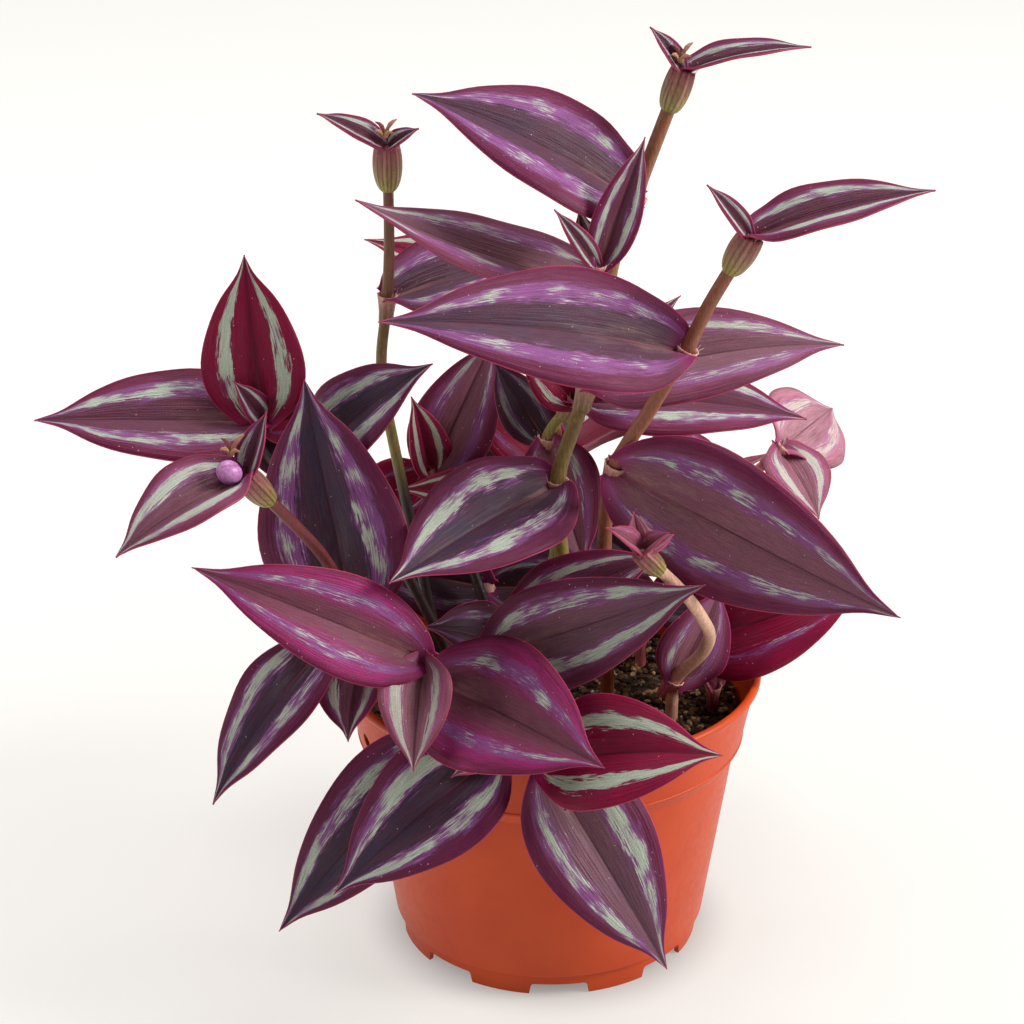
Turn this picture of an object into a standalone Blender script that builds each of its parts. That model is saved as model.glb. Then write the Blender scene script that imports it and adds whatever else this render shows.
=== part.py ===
"""Potted tradescantia: striped leafy stems in peat, in a moulded nursery pot.

Metres, +Z up. The pot stands on z = 0, and the origin is under the middle of the
whole plant's spread. The pot's own axis stands beside it, at POT_AXIS, and every
place below is measured from that axis.
"""
from collections import namedtuple
from math import cos, pi, radians, sin

import bmesh
import bpy
from mathutils import Matrix, Vector, noise

MM = 0.001
GAP = 0.3 * MM                 # air between pieces that touch
POT_AXIS = (21.3 * MM, -9.5 * MM)

# Pot
RIM_R = 60.0 * MM              # outside of the rolled lip
POT_HEIGHT = 83.0 * MM
LIP_R = 1.2 * MM               # the lip is a roll of this radius
COLLAR_TOP_R = 58.2 * MM
COLLAR_FOOT_R = 55.2 * MM
COLLAR_FOOT_Z = 63.5 * MM
BODY_TOP_R = 53.2 * MM
BODY_TOP_Z = 60.5 * MM
BODY_FOOT_R = 45.4 * MM
SEAM_Z = 7.0 * MM
FOOT_R = 43.8 * MM
WALL = 1.5 * MM
FLOOR_Z = 4.5 * MM             # underside of the raised floor
FLOOR_THICK = 1.6 * MM
POT_SIDES = 28
FOOT_NOTCHES = 8
NOTCH_ANGLE = 24.0
NOTCH_HEIGHT = 3.5 * MM
NOTCH_FIRST_ANGLE = -87.0
DRAIN_HOLES = 4
DRAIN_HOLE_R = 3.5 * MM
DRAIN_CIRCLE_R = 31.0 * MM
HANGER_HOLES = 4
HANGER_HOLE_R = 2.4 * MM
HANGER_HOLE_Z = 69.5 * MM
HANGER_FIRST_ANGLE = 204.0

# Soil
SOIL_TOP = 71.5 * MM
SOIL_BUMP = 1.1 * MM
SOIL_RINGS = 5
SOIL_SIDES = 14
ROOT_Z = 45.0 * MM             # height at which every stem ends in the soil

# Leaves and stems
BLADE = 0.8 * MM               # thickness of a leaf
TIP_HALF = 0.5 * MM            # half width of a leaf's blunt tip and of its root
LEAF_GRIDS = ((60, 7, 4), (48, 5, 4), (26, 5, 2), (0, 3, 2))   # over this length: rows, columns
ROUTE_STEPS = 2                # tube rings between two points of a route
SHEATH_SIDES = 6
SHEATH_LENGTH = 8.0 * MM

# at: the point of the route that carries the leaf. heading, rise: where its tip lies,
# in degrees. length, width: in mm. face: heading and rise that its upper side looks to.
# arch and sway: how far it bulges up, and bends in its own plane, as shares of its
# length. fold: degrees by which each half is lifted.
Leaf = namedtuple("Leaf", "at heading rise length width face arch fold sway",
                  defaults=((-90, 50), 0.06, 12, 0.0))
# radius: in mm. route: points in mm, the first in the soil where a stem is rooted.
# tip: length and radius in mm of the swollen sheath that ends a flowering stem.
Shoot = namedtuple("Shoot", "radius route leaves tip", defaults=(None,))

PLANT = {
    "stem_tall": [
        Shoot(2.1, [(4, 8, 78), (3, -4, 116), (1, -12, 142), (9, -9, 169), (14, -5, 196),
                    (21, -1, 218), (33, 2, 251)], [
            Leaf(2, -131, -6, 66, 36, (-110, 35), 0.02),
            Leaf(3, 3, 9, 70, 30, (-80, 52), 0.09),
            Leaf(4, -164, 23, 73, 30, (-100, 68), -0.04),
            Leaf(5, -170, 28, 66, 35, (-100, 54), 0.06),
            Leaf(6, -3, 13, 34, 13, (-90, 75), 0.05, 30),
            Leaf(6, 180, 56, 15, 7, (-90, 60), 0.05, 38),
        ], (9, 4.3)),
        Shoot(1.5, [(9, -9, 169), (11, -16, 187), (11, -20, 205)], [
            Leaf(2, 34, 66, 36, 13, (-90, 0), 0.03, 20),
            Leaf(2, -158, 55, 21, 7, (-60, 20), 0.03, 30),
            Leaf(2, 110, 42, 19, 7, (-90, 20), 0.03, 20),
        ]),
    ],
    "stem_right": [
        Shoot(2.0, [(16, -8, 78), (14, -20, 130), (16, -28, 153), (25, -31, 171),
                    (33, -34, 187), (39, -36, 201), (48, -38, 218)], [
            Leaf(2, -33, -15, 86, 38, (-80, 4), 0.03, 4),
            Leaf(4, -160, 12, 83, 35, (-90, 45)),
            Leaf(6, -5, 17, 47, 21, (-90, 70), 0.04, 20),
            Leaf(6, -162, 52, 19, 7, (-90, 50), 0.04, 35),
        ], (9, 4.3)),
    ],
    "stem_left_thin": [
        Shoot(1.6, [(-32, 15, 78), (-44, 12, 144), (-47, 10, 168), (-45, 8, 188),
                    (-44, 7, 206), (-44, 6, 230)], [
            Leaf(3, 20, 8, 52, 30, (-90, 60)),
            Leaf(5, -174, 30, 21, 9, (-90, 60), 0.05, 30),
            Leaf(5, -15, 37, 11, 7, (-90, 60), 0.05, 30),
        ], (10, 3.5)),
    ],
    "stem_left_front": [
        Shoot(1.7, [(-34, -22, 78), (-44, -34, 103), (-52, -40, 115), (-60, -48, 137),
                    (-76.8, -60, 162.8)], [
            Leaf(2, 129, 71, 65, 41, (-100, 10), 0.04),
            Leaf(4, -145, -18, 39, 24, (-90, 68), 0.07, 28),
            Leaf(4, 22, 72, 18, 9, (-120, 20), 0.04, 35),
        ], (9, 3.8)),
    ],
    "stem_left_back": [
        Shoot(1.6, [(-26, 2, 78), (-46, -4, 122), (-66, -12, 147), (-77, -17, 162)], [
            Leaf(2, -23, 43, 51, 30, (-90, 55)),
            Leaf(3, -168, 5, 60, 31, (-110, 52), 0.01),
            Leaf(3, 125, 81, 45, 29, (-95, 0), 0.03, 20),
            Leaf(3, -128, 54, 18, 9, (-60, 20), 0.03, 30),
            Leaf(3, -15, -55, 22, 16, (-90, 20)),
            Leaf(3, -15, 12, 17, 14, (-90, 35)),
        ]),
    ],
    "stem_front_left": [
        Shoot(1.8, [(-22, -18, 78), (-31, -43, 98), (-34, -53, 109)], [
            Leaf(2, -167, 29, 67, 27, (-100, 38)),
            Leaf(1, -48, 0, 64, 39, (-72, 24), 0.03),
            Leaf(2, -96, -44, 30, 23, (-100, 30), 0.05, 40),
        ]),
    ],
    "stem_left_low": [
        Shoot(1.6, [(-40, -10, 78), (-52, -24, 96), (-60, -35, 106)], [
            Leaf(1, -94, -16, 33, 22, (-110, 40)),
            Leaf(2, -137, -40, 53, 27, (-130, 30)),
        ]),
    ],
    "stem_front_low": [
        Shoot(1.7, [(-32, -30, 78), (-36, -44, 90), (-28, -56, 89), (-14, -59, 86),
                    (-3, -66, 86), (3, -69, 84)], [
            Leaf(2, -170, -50, 72, 29, (-104, 24), 0.04),
            Leaf(3, -153, -32, 57, 33, (-105, 36), 0.05),
            Leaf(3, -145, -11, 16, 8, (-90, 50)),
            Leaf(4, -20, 13, 49, 32, (-60, 40), 0.1),
            Leaf(4, -29, -54, 63, 33, (-80, 25)),
            Leaf(5, -132, -62, 13, 8, (-90, 30)),
        ]),
    ],
    "stem_front_middle": [
        Shoot(1.8, [(-8, -10, 78), (-9, -18, 95), (-11, -28, 108), (-17, -38, 103)], [
            Leaf(1, -139, 28, 38, 22, (-90, 50)),
            Leaf(2, -3, 28, 46, 22, (-80, 50)),
            Leaf(3, -24, 28, 68, 29, (-80, 25), 0.04),
        ]),
    ],
    "stem_arching": [
        Shoot(1.8, [(34, -13, 78), (34, -14, 84), (41, -22, 96), (42, -34, 107),
                    (39, -47, 118), (33, -54, 129), (22, -59, 142)], [
            Leaf(1, 25, 61, 30, 22, (-60, 30)),
            Leaf(6, -147, 41, 15, 8, (-90, 60), 0.05, 30),
            Leaf(6, -38, 46, 11, 7, (-90, 60), 0.05, 30),
            Leaf(6, 120, 65, 11, 7, (-90, 20), 0.05, 30),
            Leaf(6, 30, 20, 10, 6, (-90, 60), 0.05, 30),
        ], (7, 3.0)),
    ],
    "stem_right_low": [
        Shoot(1.7, [(36, 6, 78), (39, 0, 88), (48, 8, 100)], [
            Leaf(1, -6, 22, 54, 32, (-60, 40)),
            Leaf(2, 40, 25, 40, 24, (10, 50)),
        ]),
    ],
    "stem_right_back": [
        Shoot(1.6, [(27, 22, 78), (46, 34, 112), (67, 36, 134)], [
            Leaf(1, 20, 8, 40, 26, (30, 50)),
            Leaf(2, 55, 6, 33, 30, (-90, 30)),
            Leaf(2, -60, -35, 25, 22, (-60, 30)),
        ]),
        Shoot(1.4, [(27, 22, 78), (29, 25, 84), (31, 28, 89)], [
            Leaf(2, 184, 5, 27, 22, (-90, 30)),
            Leaf(2, -4, 8, 33, 24, (-90, 30)),
        ]),
    ],
    "stem_centre": [
        Shoot(1.7, [(-3, 22, 78), (3, 22, 122), (-1, 19, 143), (6, 16, 156)], [
            Leaf(1, -176, 8, 48, 20, (-90, 50)),
            Leaf(1, -20, -30, 36, 24, (-90, 30)),
            Leaf(2, -60, -55, 38, 24, (-100, 30)),
            Leaf(2, 140, 45, 28, 16, (-90, 10)),
            Leaf(3, -1, -4, 66, 31, (-80, 60)),
            Leaf(3, 200, 50, 26, 15, (-90, 30)),
            Leaf(3, -30, 35, 24, 12, (-90, 60)),
            Leaf(3, 24, 39, 43, 16, (-90, 40)),
        ]),
    ],
    "stem_left_middle": [
        Shoot(1.6, [(-15, 24, 78), (-27, 33, 110), (-35, 34, 127)], [
            Leaf(1, 60, 40, 36, 20, (-90, 20)),
            Leaf(2, 18, 64, 46, 25, (-90, 10)),
            Leaf(2, -132, 75, 27, 15, (-60, 10), 0.04, 35),
            Leaf(2, -170, -25, 34, 22, (-90, 10)),
        ]),
        Shoot(1.4, [(-15, 24, 78), (-17, 31, 84), (-18, 36, 90)], [
            Leaf(2, 180, 12, 40, 26, (-90, 25)),
            Leaf(2, 0, 0, 42, 26, (-90, 30)),
        ]),
    ],
    "stem_back_high": [
        Shoot(1.8, [(6, 42, 78), (3, 46, 126), (-3, 36, 176)], [
            Leaf(1, 90, 10, 54, 30, (90, 60)),
            Leaf(1, 8, 22, 50, 28, (60, 50)),
            Leaf(1, 172, 38, 40, 22, (-90, 30)),
            Leaf(2, 178, 23, 54, 26, (-90, 55)),
            Leaf(2, 95, 0, 40, 24, (90, 60)),
        ]),
    ],
    "stem_back_right": [
        Shoot(1.7, [(24, 38, 78), (34, 54, 100), (44, 64, 106)], [
            Leaf(1, 20, 30, 44, 26, (60, 50)),
            Leaf(2, 60, -40, 56, 30, (60, 35)),
            Leaf(2, 143, -5, 46, 26, (110, 60)),
            Leaf(2, 95, 15, 44, 26, (90, 65)),
        ]),
    ],
    "stem_back": [
        Shoot(1.7, [(-6, 36, 78), (-6, 54, 104), (-8, 68, 108)], [
            Leaf(1, 160, 35, 44, 26, (120, 50)),
            Leaf(2, 80, -45, 60, 32, (90, 30)),
            Leaf(2, 128, -32, 44, 26, (120, 45)),
            Leaf(2, 60, 8, 46, 27, (80, 65)),
        ]),
    ],
    "stem_back_left": [
        Shoot(1.7, [(-30, 34, 78), (-42, 50, 100), (-50, 60, 106)], [
            Leaf(1, 170, 40, 34, 22, (120, 50)),
            Leaf(2, 110, -45, 56, 30, (120, 30)),
            Leaf(2, 85, -5, 42, 26, (90, 50)),
            Leaf(2, 138, -12, 38, 24, (130, 60)),
        ]),
    ],
    "young_sprout": [
        Shoot(1.2, [(46, -7, 74), (46, -8, 78)], [
            Leaf(1, 60, 55, 9, 5, (-60, 30), 0.05, 25),
            Leaf(1, -130, 50, 8, 5, (-60, 40), 0.05, 25),
        ]),
    ],
}

# Flower bud and withered flowers: places in mm
BUD_R = 3.0 * MM
BUD_PLACE = (-80.6, -65.0, 166.4)
BUD_POINTS = (-0.6, -0.5, 0.6)
DRIED_FLOWERS = {
    "dried_flowers_tall": (32.5, 0.5, 254.5),
    "dried_flowers_left": (-44.5, 5.0, 233.5),
    "dried_flowers_front": (-80.5, -60.7, 169.2),
}
DRIED_STALKS = ((-95, 50, 4), (-20, 72, 6), (110, 78, 5))   # heading, rise, mm


def heading_vector(heading, rise):
    """Unit vector from a heading about Z and a rise above level, in degrees."""
    flat = cos(radians(rise))
    return Vector((flat * cos(radians(heading)), flat * sin(radians(heading)), sin(radians(rise))))


def new_material(name, colour, roughness):
    material = bpy.data.materials.new(name)
    material.use_nodes = True
    shader = material.node_tree.nodes["Principled BSDF"]
    shader.inputs["Base Color"].default_value = (*colour, 1)
    shader.inputs["Roughness"].default_value = roughness
    material.diffuse_color = (*colour, 1)
    return material


def new_collection(name):
    collection = bpy.data.collections.new(name)
    bpy.context.scene.collection.children.link(collection)
    return collection


def object_from_bmesh(name, bm, collection):
    mesh = bpy.data.meshes.new(name)
    bm.to_mesh(mesh)
    bm.free()
    piece = bpy.data.objects.new(name, mesh)
    collection.objects.link(piece)
    return piece


def as_mesh(piece):
    """A new mesh of the piece with its modifiers applied."""
    bpy.context.view_layer.update()
    evaluated = piece.evaluated_get(bpy.context.evaluated_depsgraph_get())
    return bpy.data.meshes.new_from_object(evaluated)


def finish(piece, material):
    """One material, smooth shading with sharp edges kept, and a place on the pot's axis."""
    piece.data.materials.clear()
    piece.data.materials.append(material)
    for polygon in piece.data.polygons:
        polygon.material_index = 0
    piece.data.shade_smooth()
    piece.data.set_sharp_from_angle(angle=radians(40))
    piece.parent = bpy.data.objects["pot_axis"]


# ---- stems and leaves ----

def smooth_route(points):
    """Points on a smooth curve through the route's own points."""
    ends = [points[0] * 2 - points[1], *points, points[-1] * 2 - points[-2]]
    route = []
    for before, start, end, after in zip(ends, ends[1:], ends[2:], ends[3:]):
        for step in range(ROUTE_STEPS):
            t = step / ROUTE_STEPS
            route.append(0.5 * (2 * start + (end - before) * t
                                + (2 * before - 5 * start + 4 * end - after) * t ** 2
                                + (3 * start - before - 3 * end + after) * t ** 3))
    return route + [points[-1]]


def tube(name, points, radius, collection):
    """A closed tube, made as a bevelled curve and then turned into a mesh."""
    curve = bpy.data.curves.new(name, "CURVE")
    curve.dimensions = "3D"
    curve.bevel_depth = radius
    curve.bevel_resolution = 1
    curve.use_fill_caps = True
    spline = curve.splines.new("POLY")
    spline.points.add(len(points) - 1)
    for point, place in zip(spline.points, points):
        point.co = (*place, 1)
    guide = bpy.data.objects.new(name, curve)
    collection.objects.link(guide)
    bm = bmesh.new()
    bm.from_mesh(as_mesh(guide))
    bmesh.ops.remove_doubles(bm, verts=bm.verts[:], dist=0.01 * MM)
    bpy.data.objects.remove(guide)
    return object_from_bmesh(name, bm, collection)


def blade_point(leaf, base, u, v):
    """Point of a leaf's upper side: u runs from base to tip, v from edge to edge."""
    along = heading_vector(leaf.heading, leaf.rise)
    looks = heading_vector(*leaf.face)
    up = (looks - along * looks.dot(along)).normalized()
    side = up.cross(along)
    length = leaf.length * MM
    ovate = u ** 0.55 * (1 - u) ** 1.08 / 0.352
    half = max(leaf.width / 2 * MM * ovate, TIP_HALF)
    lift = radians(leaf.fold) * (1 - 0.5 * u)
    bow = 4 * u * (1 - u) * length
    dome = 0.1 * half * (1 - (2 * abs(v) - 1) ** 2)
    across = v * half * cos(lift) + leaf.sway * bow
    height = abs(v) * half * sin(lift) + dome + leaf.arch * bow
    return base + along * length * u + side * across + up * height


def blade(leaf, base, collection):
    """A leaf: a grid bent to its shape, split into triangles alike on both faces."""
    rows, columns = next(grid[1:] for grid in LEAF_GRIDS if leaf.length > grid[0])
    bm = bmesh.new()
    bmesh.ops.create_grid(bm, x_segments=rows, y_segments=columns, size=1)
    for vert in bm.verts:
        u = 0.5 - 0.5 * cos(pi * (vert.co.x + 1) / 2)
        vert.co = blade_point(leaf, base, min(max(u, 0), 1), vert.co.y)
    bmesh.ops.triangulate(bm, faces=bm.faces[:])
    piece = object_from_bmesh("blade", bm, collection)
    skin = piece.modifiers.new("thickness", "SOLIDIFY")
    skin.thickness = BLADE
    skin.offset = -1
    return piece


def pointing(direction, place):
    """Matrix that turns Z to a direction and moves to a place."""
    return Matrix.Translation(place) @ direction.to_track_quat("Z", "Y").to_matrix().to_4x4()


def sheath(place, direction, radius, collection):
    """The collar of a leaf's base round its stem, widest at its mouth."""
    bm = bmesh.new()
    centre = place - direction * SHEATH_LENGTH * 0.3
    bmesh.ops.create_cone(bm, cap_ends=True, segments=SHEATH_SIDES, radius1=radius + 0.4 * MM,
                          radius2=radius + 1.4 * MM, depth=SHEATH_LENGTH,
                          matrix=pointing(direction, centre))
    return object_from_bmesh("sheath", bm, collection)


def swollen_sheath(place, direction, length, radius, collection):
    """The bulb of sheaths under a flowering tip."""
    bm = bmesh.new()
    bmesh.ops.create_uvsphere(bm, u_segments=7, v_segments=5, radius=radius)
    bmesh.ops.scale(bm, vec=(1, 1, length * 0.62 / radius), verts=bm.verts[:])
    centre = place - direction * length * 0.5
    bmesh.ops.transform(bm, matrix=pointing(direction, centre), verts=bm.verts[:])
    return object_from_bmesh("swollen_sheath", bm, collection)


def shoot_pieces(shoot, rooted, collection):
    """Every closed solid of one shoot: its tube, its sheaths and its leaves."""
    places = [Vector(point) * MM for point in shoot.route]
    radius = shoot.radius * MM
    course = smooth_route(places)
    if rooted:
        course.insert(0, Vector((places[0].x, places[0].y, ROOT_Z)))
    pieces = [tube("stem", course, radius, collection)]
    for at in sorted({leaf.at for leaf in shoot.leaves}):
        last = min(at + 1, len(places) - 1)
        direction = (places[last] - places[at - 1]).normalized()
        if shoot.tip and at == len(places) - 1:
            length, swell = shoot.tip
            pieces.append(swollen_sheath(places[at], direction, length * MM, swell * MM,
                                         collection))
        else:
            pieces.append(sheath(places[at], direction, radius, collection))
    pieces += [blade(leaf, places[leaf.at], collection) for leaf in shoot.leaves]
    return pieces


def fuse(name, pieces, group, target):
    """One closed body from solids that run into each other."""
    first = pieces[0]
    group.objects.unlink(first)
    target.objects.link(first)
    union = first.modifiers.new("union", "BOOLEAN")
    union.operation = "UNION"
    union.operand_type = "COLLECTION"
    union.collection = group
    union.solver = "EXACT"
    mesh = as_mesh(first)
    mesh.name = name
    fused = bpy.data.objects.new(name, mesh)
    target.objects.link(fused)
    for piece in pieces:
        bpy.data.objects.remove(piece)
    bpy.data.collections.remove(group)
    return fused


def make_stem(name, shoots, parts):
    group = new_collection(name + "_pieces")
    pieces = []
    for number, shoot in enumerate(shoots):
        pieces += shoot_pieces(shoot, number == 0, group)
    stem = fuse(name, pieces, group, parts)
    finish(stem, new_material(name, (0.16, 0.05, 0.13), 0.4))
    return stem


# ---- pot ----

def arc(centre_r, centre_z, radius, start, end, steps):
    """Points of an arc in the profile's plane, between two angles in degrees."""
    turn = [radians(start + (end - start) * step / steps) for step in range(steps + 1)]
    return [(centre_r + radius * cos(a), centre_z + radius * sin(a)) for a in turn]


def turned(name, profile, sides, collection):
    """A profile of radius and height turned about Z."""
    mesh = bpy.data.meshes.new(name)
    edges = [(i, i + 1) for i in range(len(profile) - 1)]
    mesh.from_pydata([(r, 0, z) for r, z in profile], edges, [])
    piece = bpy.data.objects.new(name, mesh)
    collection.objects.link(piece)
    screw = piece.modifiers.new("turn", "SCREW")
    screw.steps = sides
    screw.render_steps = sides
    screw.use_merge_vertices = True
    screw.merge_threshold = 0.02 * MM
    return piece


def inner_wall():
    """The pot's inside, from its floor up to its lip."""
    return [
        (FOOT_R - WALL, FLOOR_Z + FLOOR_THICK),
        (BODY_FOOT_R - WALL, SEAM_Z + WALL),
        (BODY_TOP_R - WALL, BODY_TOP_Z + WALL),
        (COLLAR_FOOT_R - WALL, COLLAR_FOOT_Z + WALL),
        (COLLAR_TOP_R - WALL, POT_HEIGHT - LIP_R * 2),
    ]


def cutter(name, bm, cutters):
    piece = object_from_bmesh(name, bm, cutters)
    piece.hide_render = True
    piece.display_type = "WIRE"
    piece.parent = bpy.data.objects["pot_axis"]
    return piece


def round_cutter(name, place, direction, radius, depth, cutters):
    bm = bmesh.new()
    bmesh.ops.create_cone(bm, cap_ends=True, segments=8, radius1=radius, radius2=radius,
                          depth=depth, matrix=pointing(direction, place))
    return cutter(name, bm, cutters)


def cut(piece, cutters):
    hollow = piece.modifiers.new("cut", "BOOLEAN")
    hollow.operation = "DIFFERENCE"
    hollow.operand_type = "COLLECTION"
    hollow.collection = cutters
    hollow.solver = "EXACT"


def make_pot(parts, cutters):
    lip = arc(RIM_R - LIP_R, POT_HEIGHT - LIP_R, LIP_R, 200, -60, 4)
    foot_inner_r = FOOT_R - WALL - 0.4 * MM
    profile = [
        (0, FLOOR_Z + FLOOR_THICK),
        *inner_wall(),
        *lip,
        (COLLAR_TOP_R, POT_HEIGHT - LIP_R * 3),
        (COLLAR_FOOT_R, COLLAR_FOOT_Z),
        (COLLAR_FOOT_R - 0.8 * MM, COLLAR_FOOT_Z - 1.2 * MM),
        (BODY_TOP_R + 0.6 * MM, BODY_TOP_Z + 0.6 * MM),
        (BODY_TOP_R, BODY_TOP_Z),
        (BODY_FOOT_R, SEAM_Z),
        (FOOT_R, SEAM_Z - 0.5 * MM),
        (FOOT_R - 0.3 * MM, 0),
        (foot_inner_r, 0),
        (foot_inner_r, FLOOR_Z),
        (0, FLOOR_Z),
    ]
    pot = turned("pot", profile, POT_SIDES, parts)
    for number in range(FOOT_NOTCHES):
        angle = radians(NOTCH_FIRST_ANGLE) + 2 * pi * number / FOOT_NOTCHES
        bm = bmesh.new()
        bmesh.ops.create_cube(bm, size=1)
        width = 2 * FOOT_R * sin(radians(NOTCH_ANGLE / 2))
        bmesh.ops.scale(bm, vec=(8 * MM, width, 2 * NOTCH_HEIGHT), verts=bm.verts[:])
        for vert in bm.verts:
            vert.co.y *= 0.86 if vert.co.z > 0 else 1.0
        turn = Matrix.Rotation(angle, 4, "Z") @ Matrix.Translation((FOOT_R - MM, 0, 0))
        bmesh.ops.transform(bm, matrix=turn, verts=bm.verts[:])
        cutter("notch", bm, cutters)
    for number in range(DRAIN_HOLES):
        angle = 2 * pi * (number + 0.5) / DRAIN_HOLES
        place = Vector((cos(angle), sin(angle), 0)) * DRAIN_CIRCLE_R + Vector((0, 0, FLOOR_Z))
        round_cutter("drain", place, Vector((0, 0, 1)), DRAIN_HOLE_R, 8 * MM, cutters)
    for number in range(HANGER_HOLES):
        angle = radians(HANGER_FIRST_ANGLE + 360 * number / HANGER_HOLES)
        outward = Vector((cos(angle), sin(angle), 0))
        place = outward * COLLAR_TOP_R + Vector((0, 0, HANGER_HOLE_Z))
        round_cutter("hanger", place, outward, HANGER_HOLE_R, 8 * MM, cutters)
    cut(pot, cutters)
    finish(pot, new_material("pot", (0.62, 0.13, 0.05), 0.38))


# ---- soil ----

def make_soil(parts, holes):
    """A plug of peat that fills the pot, uneven on top, with a hole for every stem."""
    wall = [(r - GAP, z + GAP) for r, z in inner_wall()[:-1]]
    share = (SOIL_TOP - wall[-1][1]) / (POT_HEIGHT - wall[-1][1])
    top_r = wall[-1][0] + (COLLAR_TOP_R - COLLAR_FOOT_R) * share - GAP
    top = [(top_r * ring / SOIL_RINGS, SOIL_TOP) for ring in range(SOIL_RINGS + 1)]
    plug = turned("soil_plug", [*top, *reversed(wall), (0, wall[0][1])], SOIL_SIDES, parts)
    bm = bmesh.new()
    bm.from_mesh(as_mesh(plug))
    bpy.data.objects.remove(plug)
    for vert in bm.verts:
        from_axis = vert.co.xy.length
        if vert.co.z > SOIL_TOP - 0.1 * MM and from_axis < top_r - MM:
            vert.co.z += SOIL_BUMP * noise.noise(vert.co * 90)
    bmesh.ops.triangulate(bm, faces=bm.faces[:])
    soil = object_from_bmesh("soil", bm, parts)
    for name, shoots in PLANT.items():
        x, y, z = shoots[0].route[0]
        radius = (shoots[0].radius * MM + GAP) / cos(pi / 8)
        middle = Vector((x * MM, y * MM, (ROOT_Z - GAP + SOIL_TOP + 6 * MM) / 2))
        depth = SOIL_TOP + 6 * MM - ROOT_Z + GAP
        round_cutter("hole_" + name, middle, Vector((0, 0, 1)), radius, depth, holes)
    cut(soil, holes)
    finish(soil, new_material("soil", (0.035, 0.02, 0.012), 0.9))


# ---- flower ----

def make_bud(parts):
    """A closed flower bud that rests in its boat-shaped leaf."""
    bm = bmesh.new()
    bmesh.ops.create_uvsphere(bm, u_segments=10, v_segments=7, radius=BUD_R)
    bmesh.ops.scale(bm, vec=(1, 1, 1.2), verts=bm.verts[:])
    bmesh.ops.transform(bm, matrix=pointing(Vector(BUD_POINTS), Vector(BUD_PLACE) * MM),
                        verts=bm.verts[:])
    finish(object_from_bmesh("flower_bud", bm, parts),
           new_material("flower_bud", (0.5, 0.2, 0.5), 0.35))


def make_dried_flowers(name, place, parts):
    """Withered flower stalks and bracts in a tuft, just clear of the tip that bore them."""
    group = new_collection(name + "_pieces")
    base = Vector(place) * MM
    pieces = []
    for heading, rise, length in DRIED_STALKS:
        direction = heading_vector(heading, rise)
        bm = bmesh.new()
        bmesh.ops.create_cone(bm, cap_ends=True, segments=4, radius1=1.1 * MM, radius2=0.45 * MM,
                              depth=length * MM,
                              matrix=pointing(direction, base + direction * length / 2 * MM))
        pieces.append(object_from_bmesh("stalk", bm, group))
    tuft = fuse(name, pieces, group, parts)
    finish(tuft, new_material(name, (0.5, 0.3, 0.2), 0.7))


def main():
    for thing in list(bpy.data.objects):
        bpy.data.objects.remove(thing)
    parts = new_collection("potted_tradescantia")
    pot_cutters = new_collection("pot_cutters")
    axis = bpy.data.objects.new("pot_axis", None)
    axis.location = (*POT_AXIS, 0)
    parts.objects.link(axis)
    make_pot(parts, pot_cutters)
    make_soil(parts, new_collection("soil_holes"))
    for name, shoots in PLANT.items():
        make_stem(name, shoots, parts)
    make_bud(parts)
    for name, place in DRIED_FLOWERS.items():
        make_dried_flowers(name, place, parts)


main()
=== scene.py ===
# Potted tradescantia: leafy stems striped violet and silver, in a terracotta plastic pot.
# Every place is in mm from the pot's own axis, as in the part's source.
import random
from math import cos, exp, pi, radians, sin

import bmesh
import bpy
from mathutils import Matrix, Vector, noise


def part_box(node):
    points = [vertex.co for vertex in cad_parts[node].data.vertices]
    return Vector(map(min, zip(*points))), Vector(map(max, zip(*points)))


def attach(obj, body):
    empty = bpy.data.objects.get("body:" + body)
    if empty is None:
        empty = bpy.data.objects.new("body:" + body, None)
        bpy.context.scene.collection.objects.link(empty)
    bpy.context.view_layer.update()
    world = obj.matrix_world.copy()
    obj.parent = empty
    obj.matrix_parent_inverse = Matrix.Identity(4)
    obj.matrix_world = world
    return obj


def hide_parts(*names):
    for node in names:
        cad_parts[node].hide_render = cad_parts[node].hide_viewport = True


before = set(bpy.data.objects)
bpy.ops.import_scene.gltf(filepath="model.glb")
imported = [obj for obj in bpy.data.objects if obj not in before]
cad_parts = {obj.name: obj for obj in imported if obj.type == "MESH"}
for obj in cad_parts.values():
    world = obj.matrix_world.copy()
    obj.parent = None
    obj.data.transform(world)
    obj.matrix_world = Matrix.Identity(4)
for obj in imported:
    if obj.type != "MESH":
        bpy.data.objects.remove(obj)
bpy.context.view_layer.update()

mm = 0.001
potLow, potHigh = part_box("pot")
potAxis = Vector(((potLow[0] + potHigh[0]) / 2, (potLow[1] + potHigh[1]) / 2, 0))
dice = random.Random(11)


# small helpers

def srgb(red, green, blue):
    # a screen colour, 0 to 255, as the linear one a shader wants
    def linear(level):
        share = level / 255
        return share / 12.92 if share <= 0.04045 else ((share + 0.055) / 1.055) ** 2.4
    return (linear(red), linear(green), linear(blue), 1)


def mixed(first, second, share):
    return tuple(a + (b - a) * share for a, b in zip(first, second))


def headingVector(heading, rise):
    flat = cos(radians(rise))
    return Vector((flat * cos(radians(heading)), flat * sin(radians(heading)),
                   sin(radians(rise))))


def pointing(direction, place):
    # turns Z to a direction and moves to a place
    return Matrix.Translation(place) @ direction.to_track_quat("Z", "Y").to_matrix().to_4x4()


def bump(x, width):
    return exp(-(x / width) ** 2)


def joinedWords(node):
    return "".join(word.capitalize() for word in node.split("_"))


def placed(name, data):
    made = bpy.data.objects.new(name, data)
    bpy.context.scene.collection.objects.link(made)
    return made


def meshFrom(name, bm):
    mesh = bpy.data.meshes.new(name)
    bm.to_mesh(mesh)
    bm.free()
    return mesh


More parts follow.
